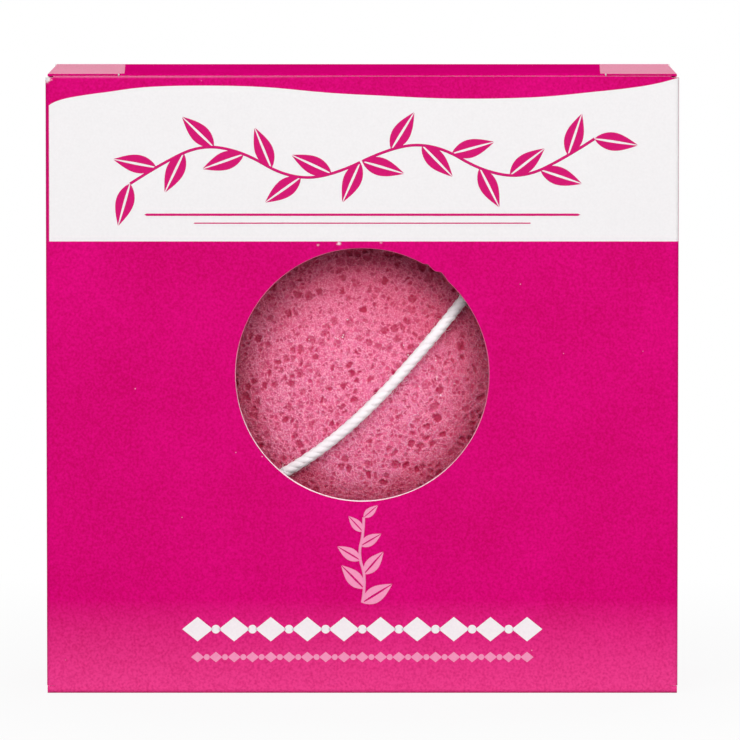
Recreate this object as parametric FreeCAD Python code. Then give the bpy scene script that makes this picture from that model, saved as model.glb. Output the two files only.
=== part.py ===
import FreeCAD, Part
import math
import os

# A konjac sponge with its cotton string, in a folded paperboard carton with a round window.
# Millimetres. X is to the right, Y to the back and Z up, from the middle of the carton's base.

Vector = FreeCAD.Vector
RIGHT = Vector(1, 0, 0)
BACK = Vector(0, 1, 0)
UP = Vector(0, 0, 1)

# Sponge: a puff with a high crown in front, a flatter one behind and a round rim between them
sponge_diameter = 82.0
sponge_front_rise = 19.8
sponge_back_rise = 11.6
sponge_rim_radius = 8.0

# Room that the carton leaves round the sponge
sponge_side_room = 3.6
sponge_head_room = 4.2
sponge_floor_gap = 0.3
sponge_front_gap = 2.8
sponge_back_gap = 3.0

# String: soft twisted cotton, tied behind the sponge
string_diameter = 1.7
string_bore_clearance = 0.1
knot_diameter = 3.4
tail_diameter = 1.4
tail_length = 9.0
tail_headings = ((0.75, 0.0, -0.66), (0.1, 0.0, -0.99))

# Route of the string from the knot, forward through the bore, down across the front, round the
# lower left of the rim and up across the back to the knot again. Points chosen by hand.
string_route = [
    (13.6, 16.3, 57.0),
    (18.5, 15.1, 61.7),
    (20.8, 9.0, 63.9),
    (20.8, -3.8, 63.9),
    (18.6, -10.2, 61.2),
    (13.6, -14.4, 55.2),
    (6.2, -16.9, 46.4),
    (-1.6, -17.25, 38.7),
    (-10.2, -15.7, 32.5),
    (-20.5, -11.7, 26.9),
    (-28.2, -6.9, 22.8),
    (-34.3, -1.9, 19.2),
    (-35.8, 5.4, 18.2),
    (-32.8, 11.8, 20.2),
    (-27.7, 14.3, 23.7),
    (-19.0, 15.6, 30.5),
    (-8.5, 16.9, 38.9),
    (1.5, 17.1, 46.9),
    (10.7, 16.6, 54.4),
]
string_bore_points = 6
string_arc_share = 0.45

# Board of the carton and its creases
board = 0.4
crease_inner_radius = 0.2
crease_land = 0.5
corner_clearance = 0.4
corner_nick = 0.5

# Round window in the front panel
window_diameter = 36.0
window_centre_height = 45.6

# Glued seam inside the left side
glue_flap_width = 12.0
glue_flap_inset = 3.0
glue_flap_taper = 6.0
seam_edge_setback = 0.2

# Closures: a lid with a tuck flap over two dust flaps, locked by slits at the ends of the tuck fold
raw_edge_setback = 0.4
lid_side_clearance = 0.3
slit_length = 10.0
slit_width = 0.2
tuck_length = 12.0
tuck_corner_radius = 5.0
tuck_lean = 8.0
tuck_side_clearance = 0.8
tuck_face_clearance = 0.35
dust_length = 18.0
dust_taper_share = 0.74
dust_hinge_clearance = 1.5
dust_tuck_clearance = 1.2
dust_corner_radius = 2.5
dust_lid_clearance = 0.15

# How far a cut runs past what it cuts
overrun = 1.0

# Sizes worked out from those above
fold_radius = crease_inner_radius + board
flap_stack = board + dust_lid_clearance + board
carton_width = sponge_diameter + 2 * (sponge_side_room + board)
carton_depth = sponge_front_rise + sponge_back_rise + sponge_front_gap + sponge_back_gap + 2 * board
carton_height = sponge_diameter + sponge_floor_gap + sponge_head_room + 2 * flap_stack
half_width = carton_width / 2
half_depth = carton_depth / 2
sponge_radius = sponge_diameter / 2
sponge_centre_height = flap_stack + sponge_floor_gap + sponge_radius
sponge_rim_y = sponge_front_gap + board + sponge_front_rise - half_depth

corner_x = half_width - fold_radius
corner_y = half_depth - fold_radius
panel_x = corner_x - crease_land
panel_y = corner_y - crease_land
glue_axis_x = corner_x - board
corner_notch = fold_radius + crease_land + corner_clearance
lid_axis_z = carton_height - fold_radius
tuck_axis_y = tuck_face_clearance + board + fold_radius - half_depth
dust_axis_z = lid_axis_z - board - dust_lid_clearance
side_top = dust_axis_z - crease_land
lid_half = half_width - lid_side_clearance
tuck_half = half_width - board - tuck_side_clearance
fold_half = lid_half - slit_length

nodes = {}


def unit(vector):
    """The same heading with length one."""
    return vector * (1 / vector.Length)


def corner(before, point, after, radius):
    """Start, middle and end of the arc that rounds a point of a path."""
    to_before = unit(before - point)
    to_after = unit(after - point)
    half_angle = to_before.getAngle(to_after) / 2
    reach = radius / math.tan(half_angle)
    middle = point + unit(to_before + to_after) * (radius / math.sin(half_angle) - radius)
    return point + to_before * reach, middle, point + to_after * reach


def rounded_path(points, radii, closed):
    """Straight runs through points, joined by tangent arcs at the points that have a radius."""
    count = len(points)
    bends = []
    for i in range(count):
        at_end = not closed and i in (0, count - 1)
        if at_end or not radii[i]:
            bends.append((points[i], None, points[i]))
        else:
            bends.append(corner(points[i - 1], points[i], points[(i + 1) % count], radii[i]))
    edges = []
    for i in range(count):
        start, middle, end = bends[i]
        if middle:
            edges.append(Part.Arc(start, middle, end).toShape())
        if closed or i < count - 1:
            edges.append(Part.LineSegment(end, bends[(i + 1) % count][0]).toShape())
    return edges


def plate(points, radii, thickness):
    """A board panel: its outline, with rounded corners where asked, given a thickness vector."""
    outline = Part.Wire(rounded_path(points, radii, True))
    return Part.Face(outline).extrude(thickness)


def crease(axis_point, normal, toward, along, lean=0):
    """A folded strip of board: a land on one panel, the round fold and a land on the next panel.
    The first panel faces normal and runs away from toward; the fold turns from normal to toward,
    a quarter turn and as many degrees more as the second panel leans inward."""

    def place(radius, angle, land):
        out = normal * math.cos(angle) + toward * math.sin(angle)
        on = toward * math.cos(angle) - normal * math.sin(angle)
        return axis_point + out * radius + on * land

    turn = math.pi / 2 + math.radians(lean)
    sides = []
    for radius in (fold_radius, crease_inner_radius):
        sides.append((
            place(radius, 0, -crease_land),
            place(radius, 0, 0),
            place(radius, turn / 2, 0),
            place(radius, turn, 0),
            place(radius, turn, crease_land),
        ))
    outer, inner = sides
    edges = [Part.LineSegment(inner[0], outer[0]).toShape()]
    edges.append(Part.LineSegment(outer[0], outer[1]).toShape())
    edges.append(Part.Arc(outer[1], outer[2], outer[3]).toShape())
    edges.append(Part.LineSegment(outer[3], outer[4]).toShape())
    edges.append(Part.LineSegment(outer[4], inner[4]).toShape())
    edges.append(Part.LineSegment(inner[4], inner[3]).toShape())
    edges.append(Part.Arc(inner[3], inner[2], inner[1]).toShape())
    edges.append(Part.LineSegment(inner[1], inner[0]).toShape())
    return Part.Face(Part.Wire(edges)).extrude(along)


def upright_panel(corners, thickness):
    """A panel of the sleeve, with plain square corners."""
    return plate(corners, [0] * len(corners), thickness)


def sleeve():
    """The four walls, the glue flap and the upright creases between them."""
    fold_end = fold_radius + crease_land
    front = upright_panel([
        Vector(-panel_x, -half_depth, fold_end),
        Vector(panel_x, -half_depth, fold_end),
        Vector(panel_x, -half_depth, carton_height - raw_edge_setback),
        Vector(-panel_x, -half_depth, carton_height - raw_edge_setback),
    ], BACK * board)
    window = Part.makeCylinder(
        window_diameter / 2,
        board + 2 * overrun,
        Vector(0, -half_depth - overrun, window_centre_height),
        BACK,
    )
    nodes["front_panel"] = front.cut(window)

    seam_x = glue_axis_x - crease_land
    nodes["back_panel"] = upright_panel([
        Vector(-seam_x, half_depth, raw_edge_setback),
        Vector(panel_x, half_depth, raw_edge_setback),
        Vector(panel_x, half_depth, carton_height - fold_end),
        Vector(-seam_x, half_depth, carton_height - fold_end),
    ], BACK * -board)

    rear_ends = {"left": half_depth - seam_edge_setback, "right": panel_y}
    for side, sign in (("left", -1), ("right", 1)):
        face_x = sign * half_width
        nodes[side + "_side_panel"] = upright_panel([
            Vector(face_x, -panel_y, carton_height - side_top),
            Vector(face_x, rear_ends[side], carton_height - side_top),
            Vector(face_x, rear_ends[side], side_top),
            Vector(face_x, -panel_y, side_top),
        ], RIGHT * (-sign * board))

    flap_x = -(half_width - board)
    root_y = corner_y - crease_land
    free_y = corner_y - glue_flap_width
    narrow = glue_flap_inset + glue_flap_taper
    nodes["glue_flap"] = upright_panel([
        Vector(flap_x, root_y, glue_flap_inset),
        Vector(flap_x, root_y, carton_height - glue_flap_inset),
        Vector(flap_x, free_y, carton_height - narrow),
        Vector(flap_x, free_y, narrow),
    ], RIGHT * board)

    upright = UP * (carton_height - corner_notch - raw_edge_setback - corner_nick)
    front_left = Vector(-corner_x, -corner_y, corner_notch)
    front_right = Vector(corner_x, -corner_y, corner_notch)
    back_right = Vector(corner_x, corner_y, raw_edge_setback + corner_nick)
    nodes["front_left_crease"] = crease(front_left, -BACK, -RIGHT, upright)
    nodes["front_right_crease"] = crease(front_right, -BACK, RIGHT, upright)
    nodes["back_right_crease"] = crease(back_right, BACK, RIGHT, upright)
    glue_axis = Vector(-glue_axis_x, corner_y, glue_flap_inset)
    glue_height = UP * (carton_height - 2 * glue_flap_inset)
    nodes["glue_flap_crease"] = crease(glue_axis, BACK, -RIGHT, glue_height)


def lid_panel():
    """The lid: a flat panel with an ear at each front corner, past the slits of the tuck fold."""
    hinge_y = corner_y - crease_land
    fold_y = tuck_axis_y + crease_land
    ear_y = tuck_axis_y - fold_radius
    outline = [
        Vector(-lid_half, hinge_y, carton_height),
        Vector(-lid_half, ear_y, carton_height),
        Vector(-fold_half, ear_y, carton_height),
        Vector(-fold_half, fold_y, carton_height),
        Vector(fold_half, fold_y, carton_height),
        Vector(fold_half, ear_y, carton_height),
        Vector(lid_half, ear_y, carton_height),
        Vector(lid_half, hinge_y, carton_height),
    ]
    return plate(outline, [0] * len(outline), UP * -board)


def tuck_flap():
    """The tuck flap, drawn hanging straight down from its fold and then leaned inward."""
    face_y = tuck_axis_y - fold_radius
    root_z = lid_axis_z - crease_land
    tip_z = lid_axis_z - tuck_length
    outline = [
        Vector(-tuck_half, face_y, root_z),
        Vector(-tuck_half, face_y, tip_z),
        Vector(tuck_half, face_y, tip_z),
        Vector(tuck_half, face_y, root_z),
    ]
    flap = plate(outline, [0, tuck_corner_radius, tuck_corner_radius, 0], BACK * board)
    flap.rotate(Vector(0, tuck_axis_y, lid_axis_z), RIGHT, tuck_lean)
    return flap


def dust_flap(sign):
    """A dust flap under the lid. Its rear edge slants, so that the rising lid stays ahead of it."""
    root_x = corner_x - crease_land
    free_x = corner_x - dust_length
    front_y = tuck_axis_y + dust_tuck_clearance
    rear_y = corner_y - dust_hinge_clearance
    free_rear_y = rear_y - dust_taper_share * dust_length
    under_z = dust_axis_z + crease_inner_radius
    outline = [
        Vector(sign * root_x, front_y, under_z),
        Vector(sign * free_x, front_y, under_z),
        Vector(sign * free_x, free_rear_y, under_z),
        Vector(sign * root_x, rear_y, under_z),
    ]
    return plate(outline, [0, dust_corner_radius, dust_corner_radius, 0], UP * board)


def dust_crease(sign):
    """The fold between a side panel and its dust flap."""
    front_y = tuck_axis_y + dust_tuck_clearance
    rear_y = corner_y - dust_hinge_clearance
    start = Vector(sign * corner_x, front_y, dust_axis_z)
    return crease(start, RIGHT * sign, UP, BACK * (rear_y - front_y))


def closure():
    """The pieces of one end of the carton, in their places at the top."""
    lid_axis = Vector(-lid_half, corner_y, lid_axis_z)
    fold_reach = fold_half - slit_width
    tuck_axis = Vector(-fold_reach, tuck_axis_y, lid_axis_z)
    return {
        "lid": lid_panel(),
        "lid_crease": crease(lid_axis, BACK, UP, RIGHT * 2 * lid_half),
        "tuck_flap": tuck_flap(),
        "tuck_crease": crease(tuck_axis, UP, -BACK, RIGHT * 2 * fold_reach, tuck_lean),
        "left_dust_flap": dust_flap(-1),
        "left_dust_crease": dust_crease(-1),
        "right_dust_flap": dust_flap(1),
        "right_dust_crease": dust_crease(1),
    }


def closures():
    """The top closure, and the same closure turned end for end at the bottom."""
    for name, shape in closure().items():
        nodes["top_" + name] = shape
    for name, shape in closure().items():
        shape.rotate(Vector(0, 0, carton_height / 2), RIGHT, 180)
        nodes["bottom_" + name] = shape


def crown_radius(rise):
    """Radius of the crown that is this high above the rim plane and runs smoothly into the rim."""
    rim_centre = sponge_radius - sponge_rim_radius
    return (rim_centre**2 + rise**2 - sponge_rim_radius**2) / (2 * (rise - sponge_rim_radius))


def sponge_solid():
    """The puff: half its profile turned once round the axis that points to the front."""
    axis_point = Vector(0, 0, sponge_centre_height)
    rim_centre = sponge_radius - sponge_rim_radius

    def crown(rise, facing):
        radius = crown_radius(rise)
        centre_y = sponge_rim_y + facing * (rise - radius)
        full = math.asin(rim_centre / (radius - sponge_rim_radius))
        points = []
        for angle in (0, full / 2, full):
            out = radius * math.sin(angle)
            points.append(Vector(0, centre_y + facing * radius * math.cos(angle), out) + axis_point)
        return points

    front = crown(sponge_front_rise, -1)
    back = crown(sponge_back_rise, 1)
    rim = Vector(0, sponge_rim_y, sponge_radius) + axis_point
    edges = [Part.Arc(front[0], front[1], front[2]).toShape()]
    edges.append(Part.Arc(front[2], rim, back[2]).toShape())
    edges.append(Part.Arc(back[2], back[1], back[0]).toShape())
    edges.append(Part.LineSegment(back[0], front[0]).toShape())
    return Part.Face(Part.Wire(edges)).revolve(axis_point, BACK)


def string_radii(points):
    """The largest arc that the two runs at each point of the route allow."""
    radii = [0] * len(points)
    for i in range(1, len(points) - 1):
        run_in = points[i] - points[i - 1]
        run_out = points[i + 1] - points[i]
        turn = run_in.getAngle(run_out)
        radii[i] = string_arc_share * min(run_in.Length, run_out.Length) / math.tan(turn / 2)
    return radii


def string_tube(points, diameter):
    """A round tube along the route, and its path."""
    path = Part.Wire(rounded_path(points, string_radii(points), False))
    section = Part.Wire(Part.makeCircle(diameter / 2, points[0], points[1] - points[0]))
    return path.makePipeShell([section], True, False), path


def sponge_and_string():
    """The sponge with its bore, the string through and round it, and the knot behind."""
    points = [Vector(*place) for place in string_route]
    string, path = string_tube(points, string_diameter)
    bore, _ = string_tube(points[:string_bore_points], string_diameter + 2 * string_bore_clearance)
    nodes["sponge_body"] = sponge_solid().cut(bore)
    nodes["string_loop"] = string
    expected = math.pi * string_diameter**2 / 4 * path.Length
    print("string length", round(path.Length, 2), "volume", round(string.Volume, 2),
          "section times length", round(expected, 2))
    print("string radii", [round(radius, 1) for radius in string_radii(points)[1:-1]])

    knot_centre = (points[0] + points[-1]) * (1 / 2)
    knot = Part.makeSphere(knot_diameter / 2, knot_centre)
    for heading in tail_headings:
        knot = knot.fuse(Part.makeCylinder(tail_diameter / 2, tail_length, knot_centre, Vector(*heading)))
    nodes["string_knot"] = knot.removeSplitter()


sleeve()
closures()
sponge_and_string()

os.makedirs("parts", exist_ok=True)
for name, shape in nodes.items():
    print(name, "valid", shape.isValid(), "solids", len(shape.Solids), "volume", round(shape.Volume, 3))
    shape.exportStep(os.path.join("parts", name + ".step"))
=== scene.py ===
# %% [markdown]
# # A konjac sponge in its window carton
# The object is a folded paperboard carton with a round window, a pink konjac sponge inside it and a
# cotton string through the sponge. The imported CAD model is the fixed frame: every piece below lies where
# its solid lies. Lengths are written in millimetres and turned into metres where Blender needs them.

# %% Load the frame
import bmesh
import bpy
import math
import numpy as np
from functools import partial
from mathutils import Matrix, Vector


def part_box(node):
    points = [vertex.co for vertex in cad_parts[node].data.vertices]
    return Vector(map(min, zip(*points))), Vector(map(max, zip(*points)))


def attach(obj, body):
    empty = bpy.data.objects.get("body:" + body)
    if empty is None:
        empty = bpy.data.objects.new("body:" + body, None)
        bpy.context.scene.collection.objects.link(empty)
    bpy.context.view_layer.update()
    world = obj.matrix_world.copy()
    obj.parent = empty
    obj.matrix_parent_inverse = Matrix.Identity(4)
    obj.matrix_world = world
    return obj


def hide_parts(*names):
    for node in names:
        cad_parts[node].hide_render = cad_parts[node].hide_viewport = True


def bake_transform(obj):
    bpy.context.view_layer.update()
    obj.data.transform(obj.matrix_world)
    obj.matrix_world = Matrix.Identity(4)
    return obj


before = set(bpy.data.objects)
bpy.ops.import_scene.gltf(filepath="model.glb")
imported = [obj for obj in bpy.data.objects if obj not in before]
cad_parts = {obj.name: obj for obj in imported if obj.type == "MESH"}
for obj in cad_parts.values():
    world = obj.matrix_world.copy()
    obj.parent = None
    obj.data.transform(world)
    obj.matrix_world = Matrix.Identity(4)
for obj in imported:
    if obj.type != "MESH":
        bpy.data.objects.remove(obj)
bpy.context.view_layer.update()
MM = 0.001
RIGHT = Vector((1, 0, 0))
BACK = Vector((0, 1, 0))
UP = Vector((0, 0, 1))

# %% [markdown]
# ## Small helpers
# Colours are picked as sRGB hex values, which are easy to compare with a picture, and Blender's shaders
# need linear light, so one function turns them. Another adds a node, sets it and links it. Each material
# and each tree hands it out as add, tied to itself, so that its nodes read as a list of steps. A step that
# is given as an input is linked by its first output in use.


# %% Colours and nodes
def linear(hex_colour):
    """An sRGB hex colour as linear red, green, blue and alpha."""
    values = []
    for i in (0, 2, 4):
        share = int(hex_colour[i:i + 2], 16) / 255
        values.append(share / 12.92 if share <= 0.04045 else ((share + 0.055) / 1.055) ** 2.4)
    return (*values, 1.0)


def add_node(tree, kind, *inputs, **settings):
    """A new node. Inputs come in order, or by key in a dictionary, and nodes or sockets are linked."""
    node = tree.nodes.new(kind)
    for name, value in settings.items():
        setattr(node, name, value)
    by_key = {}
    for i, value in enumerate(inputs):
        by_key.update(value if isinstance(value, dict) else {i: value})
    for key, value in by_key.items():
        if isinstance(value, bpy.types.Node):
            value = next(output for output in value.outputs if output.enabled)
        if isinstance(value, bpy.types.NodeSocket):
            tree.links.new(value, node.inputs[key])
        else:
            node.inputs[key].default_value = value
    return node


def new_material(name):
    """An empty node material, and the function that adds nodes to it."""
    material = bpy.data.materials.new(name)
    material.use_nodes = True
    material.node_tree.nodes.clear()
    return material, partial(add_node, material.node_tree)


print("half grey 808080 is", round(linear("808080")[0], 3), "in linear light")

# %% [markdown]
# ## The camera
# The picture was taken straight on with a long lens, a little above the carton, so that only a thin strip
# of the lid shows. A long lens 1.2 m away gives the same flat view, and a slight downward tilt the strip.

# %% Camera
camera_data = bpy.data.cameras.new("front_camera")
# Lens, place and aim were found by matching the carton's corners with those in the picture
camera_data.lens = 411.3
camera_data.sensor_width = 36.0
camera_data.clip_end = 12.0
camera = bpy.data.objects.new("front_camera", camera_data)
bpy.context.collection.objects.link(camera)
camera.location = (0.0011, -1.219, 0.13507)
aim = Vector((0.0011, -0.019, 0.04627))
camera.rotation_euler = (aim - camera.location).to_track_quat("-Z", "Y").to_euler()
bpy.context.scene.camera = camera
bpy.context.scene.view_settings.view_transform = "Standard"
print("camera", round((aim - camera.location).length, 4), "m away")

# %% [markdown]
# ## Floor, background and light
# The carton stands on white paper that runs to white behind it. Brighter lamps would also bleach the
# carton, so the paper is lifted to white only where the camera, a reflection or a see-through surface
# looks at it, and the rest of its light is left alone, so that it still takes the contact shadow. Large
# soft lamps stand in front, the strongest at the upper left, and the room in front stays dim, because
# a bright room would lay a grey veil over the printed board.


# %% Floor and world
def looked_at(add):
    """One where the camera, a reflection or a see-through surface looks, and nought for other light."""
    path = add("ShaderNodeLightPath").outputs
    seen = add("ShaderNodeMath", path["Is Camera Ray"], path["Is Glossy Ray"], operation="MAXIMUM")
    return add("ShaderNodeMath", seen, path["Is Transmission Ray"], operation="MAXIMUM")


paper, add = new_material("white_background_paper")
# Close to the carton the paper keeps a twelfth of its own shading, and further off it runs out to white
own_place = add("ShaderNodeTexCoord").outputs["Object"]
away = add("ShaderNodeVectorMath", own_place, operation="LENGTH")
lift = add("ShaderNodeMapRange", {
    "Value": away, "From Min": 0.05, "From Max": 0.16, "To Min": 0.92, "To Max": 1.0})
share = add("ShaderNodeMath", looked_at(add), lift, operation="MULTIPLY")
matt = add("ShaderNodeBsdfDiffuse", {"Color": linear("C8C8C8")})
white = add("ShaderNodeEmission", {"Color": (1, 1, 1, 1), "Strength": 1.0})
both = add("ShaderNodeMixShader", share, matt, white)
add("ShaderNodeOutputMaterial", {"Surface": both})

floor_mesh = bpy.data.meshes.new("floor")
floor_mesh.from_pydata([(-6, -6, 0), (6, -6, 0), (6, 6, 0), (-6, 6, 0)], [], [(0, 1, 2, 3)])
floor_mesh.materials.append(paper)
floor = bpy.data.objects.new("floor", floor_mesh)
bpy.context.collection.objects.link(floor)
floor.location.z = -0.00002

world = bpy.data.worlds.new("soft_studio")
bpy.context.scene.world = world
world.use_nodes = True
world.node_tree.nodes.clear()
add = partial(add_node, world.node_tree)
direction = add("ShaderNodeTexCoord").outputs["Generated"]
to_back = add("ShaderNodeSeparateXYZ", direction).outputs["Y"]
room = add("ShaderNodeMapRange", {
    "Value": to_back, "From Min": -0.2, "From Max": 0.8, "To Min": 0.10, "To Max": 0.55})
ambient = add("ShaderNodeBackground", {"Color": (1, 1, 1, 1), "Strength": room})
# Reflections meet the white paper behind the carton and the dim room in front of it
behind = add("ShaderNodeMapRange", {
    "Value": to_back, "From Min": -0.1, "From Max": 0.2, "To Min": 0.12, "To Max": 1.0})
by_camera = add("ShaderNodeLightPath").outputs["Is Camera Ray"]
seen = add("ShaderNodeMath", behind, by_camera, operation="MAXIMUM")
white = add("ShaderNodeBackground", {"Color": (1, 1, 1, 1), "Strength": seen})
both = add("ShaderNodeMixShader", looked_at(add), ambient, white)
add("ShaderNodeOutputWorld", {"Surface": both})
print("floor and world made")

# %% Lamps
# Name, place in metres, side of the square lamp in metres, power in watts
lamps = [
    ("key_upper_left", (-0.35, -1.15, 0.95), 1.2, 17.2),
    ("fill_right", (0.70, -1.20, 0.60), 0.8, 7.75),
    ("soft_top", (0.0, 0.10, 1.50), 0.8, 3.2),
    ("soft_back", (0.2, 1.30, 1.20), 0.9, 7.0),
]
carton_middle = Vector((0, 0, 0.045))
for name, place, side, power in lamps:
    lamp_data = bpy.data.lights.new(name, "AREA")
    lamp_data.size = side
    lamp_data.energy = power
    lamp = bpy.data.objects.new(name, lamp_data)
    bpy.context.collection.objects.link(lamp)
    lamp.location = place
    lamp.rotation_euler = (carton_middle - lamp.location).to_track_quat("-Z", "Y").to_euler()
print(len(lamps), "lamps")

# %% [markdown]
# ## Running a node tree
# Geometry Nodes make what repeats or follows a surface or a path. A tree is put on a base object as a
# modifier, its inputs are set by their identifiers, and the result is copied as a plain mesh, because only
# plain meshes are exported.


# %% Helpers for geometry nodes
def new_tree(name, inputs):
    """A geometry node tree with named inputs, its function that adds nodes, and the inputs' sockets."""
    tree = bpy.data.node_groups.new(name, "GeometryNodeTree")
    tree.interface.new_socket("Geometry", in_out="INPUT", socket_type="NodeSocketGeometry")
    for label, kind in inputs.items():
        tree.interface.new_socket(label, in_out="INPUT", socket_type="NodeSocket" + kind)
    tree.interface.new_socket("Geometry", in_out="OUTPUT", socket_type="NodeSocketGeometry")
    add = partial(add_node, tree)
    return tree, add, add("NodeGroupInput").outputs


def close_tree(add, result, material):
    """Makes the instances in a tree's result real, gives it its material and ends the tree."""
    real = add("GeometryNodeRealizeInstances", {"Geometry": result})
    coated = add("GeometryNodeSetMaterial", {"Geometry": real, "Material": material})
    add("NodeGroupOutput", {"Geometry": coated})


def grow(base, tree, values, name):
    """The tree's result on a base object, as a plain mesh object at the origin."""
    modifier = base.modifiers.new(name, "NODES")
    modifier.node_group = tree
    for item in tree.interface.items_tree:
        if item.in_out == "INPUT" and item.name in values:
            modifier[item.identifier] = values[item.name]
    base.update_tag()
    depsgraph = bpy.context.evaluated_depsgraph_get()
    mesh = bpy.data.meshes.new_from_object(base.evaluated_get(depsgraph), preserve_all_data_layers=True,
                                           depsgraph=depsgraph)
    base.modifiers.remove(modifier)
    mesh.name = name
    made = bpy.data.objects.new(name, mesh)
    bpy.context.collection.objects.link(made)
    return made


print("trees can be made and grown")

# %% [markdown]
# ## The cotton string's line
# The string is one length of soft cotton: out of the sponge at the upper right, down across its front,
# round the lower left of the rim, up across its back to the knot and into the sponge again. A NURBS curve
# through listed control points gives one smooth line of the right length.

# %% String line
# From the knot through the sponge, across its front, round the rim and back, in millimetres
string_route = [
    (13.6, 16.3, 57.0), (18.5, 15.1, 61.7), (20.8, 9.0, 63.9), (20.8, -3.8, 63.9), (18.6, -10.0, 61.2),
    (13.9, -13.7, 55.2), (6.5, -16.1, 46.45), (-1.2, -16.45, 38.35), (-9.9, -14.9, 31.65),
    (-20.3, -10.95, 26.5), (-28.1, -6.3, 22.9), (-33.8, -1.7, 19.5), (-35.2, 5.4, 18.6),
    (-32.6, 11.3, 20.4), (-27.7, 13.6, 23.7), (-19.0, 15.0, 30.5), (-8.5, 16.3, 38.9), (1.5, 16.6, 46.9),
    (10.7, 16.4, 54.4),
]


def nurbs_lines(name, lines, resolution=16):
    """A curve object of smooth open lines through control points in millimetres. It isn't shown."""
    data = bpy.data.curves.new(name, "CURVE")
    data.dimensions = "3D"
    for points in lines:
        spline = data.splines.new("NURBS")
        spline.points.add(len(points) - 1)
        for point, place in zip(spline.points, points):
            point.co = (*[v * MM for v in place], 1.0)
        spline.order_u = 3
        spline.use_endpoint_u = True
        spline.resolution_u = resolution
    made = bpy.data.objects.new(name, data)
    bpy.context.collection.objects.link(made)
    made.hide_render = True
    return made


string_line = nurbs_lines("string_line", [string_route])
depsgraph = bpy.context.evaluated_depsgraph_get()
line_mesh = bpy.data.meshes.new_from_object(string_line.evaluated_get(depsgraph))
string_path = [vertex.co.copy() for vertex in line_mesh.vertices]
string_length = sum((b - a).length for a, b in zip(string_path, string_path[1:]))
bpy.data.meshes.remove(line_mesh)
print("string", round(string_length / MM, 1), "mm long in", len(string_path), "points")

# %% [markdown]
# ## Cotton
# Bleached cotton yarn is matt, a little translucent and nearly white, here with a breath of pink. Its
# fibres run along each strand and twist the other way than the strands do. The strand's own place, stored
# by the node tree, carries the streaks, so that they follow the twist round every bend.

# %% Cotton material
cotton, add = new_material("twisted_cotton_yarn")
place = add("ShaderNodeAttribute", attribute_name="yarn_place").outputs["Vector"]
# Fibre streaks: 0.12 mm across and 1.5 mm long, drawn coarser than real fibres so that they show
stretched = add("ShaderNodeVectorMath", place, (1 / 1.5, 1 / 0.12, 1 / 0.12), operation="MULTIPLY")
streaks = add("ShaderNodeTexNoise", {"Vector": stretched, "Scale": 1.0, "Detail": 3.0})
tone = add("ShaderNodeMix", {0: streaks, 6: linear("F8EFF3"), 7: linear("FFF7FA")}, data_type="RGBA")
ridges = add("ShaderNodeBump", {"Height": streaks, "Strength": 0.45, "Distance": 0.00006})
shader = add("ShaderNodeBsdfPrincipled", {
    "Base Color": tone, "Roughness": 0.85, "Specular IOR Level": 0.25, "Normal": ridges,
    "Subsurface Weight": 0.1, "Subsurface Radius": (1.0, 0.95, 0.92), "Subsurface Scale": 0.0004,
    "Sheen Weight": 0.5, "Sheen Roughness": 0.4})
add("ShaderNodeOutputMaterial", {"Surface": shader})
print("material", cotton.name)

# %% [markdown]
# ## Three-ply twine
# The string is three strands laid round each other. Each strand could be drawn as its own curve, but the
# node tree copies the line three times, moves each copy round it in a helix and sweeps a circle along it,
# so one tree serves the loop, the knot and its tails. A flare lets the strands open at a cut end.

# %% Twine tree
twine_tree, add, given = new_tree("three_ply_twine", {
    "Strand Radius": "Float", "Helix Radius": "Float", "Pitch": "Float", "Flare": "Float",
    "Material": "Material"})
even = add("GeometryNodeResampleCurve", {"Curve": given["Geometry"], "Length": 0.0003}, mode="LENGTH")
plies = add("GeometryNodeDuplicateElements", {"Geometry": even, "Amount": 3}, domain="SPLINE")
along = add("GeometryNodeSplineParameter")
turns = add("ShaderNodeMath", along.outputs["Length"], given["Pitch"], operation="DIVIDE")
ply = add("ShaderNodeMath", plies.outputs["Duplicate Index"], 3.0, operation="DIVIDE")
turned = add("ShaderNodeMath", turns, ply, operation="ADD")
angle = add("ShaderNodeMath", turned, math.tau, operation="MULTIPLY")
cosine = add("ShaderNodeMath", angle, operation="COSINE")
sine = add("ShaderNodeMath", angle, operation="SINE")
normal = add("GeometryNodeInputNormal")
tangent = add("GeometryNodeInputTangent")
side = add("ShaderNodeVectorMath", tangent, normal, operation="CROSS_PRODUCT")
across = add("ShaderNodeVectorMath", {0: normal, "Scale": cosine}, operation="SCALE")
round_it = add("ShaderNodeVectorMath", {0: side, "Scale": sine}, operation="SCALE")
outward = add("ShaderNodeVectorMath", across, round_it, operation="ADD")
opening = add("ShaderNodeMapRange", {
    "Value": along.outputs["Factor"], "From Min": 0.55, "From Max": 1.0, "To Max": given["Flare"]})
spread = add("ShaderNodeMath", opening, 1.0, operation="ADD")
reach = add("ShaderNodeMath", given["Helix Radius"], spread, operation="MULTIPLY")
helix = add("ShaderNodeVectorMath", {0: outward, "Scale": reach}, operation="SCALE")
laid = add("GeometryNodeSetPosition", {"Geometry": plies, "Offset": helix})
# Spun yarn has thick and thin places every few millimetres
slub = add("ShaderNodeTexNoise", {"Scale": 1000 / 1.8, "Detail": 1.0})
thick = add("ShaderNodeMapRange", {
    "Value": slub, "From Min": 0.3, "From Max": 0.7, "To Min": 0.84, "To Max": 1.04})
laid = add("GeometryNodeSetCurveRadius", {"Curve": laid, "Radius": thick})
print("twine tree laid out")

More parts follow.
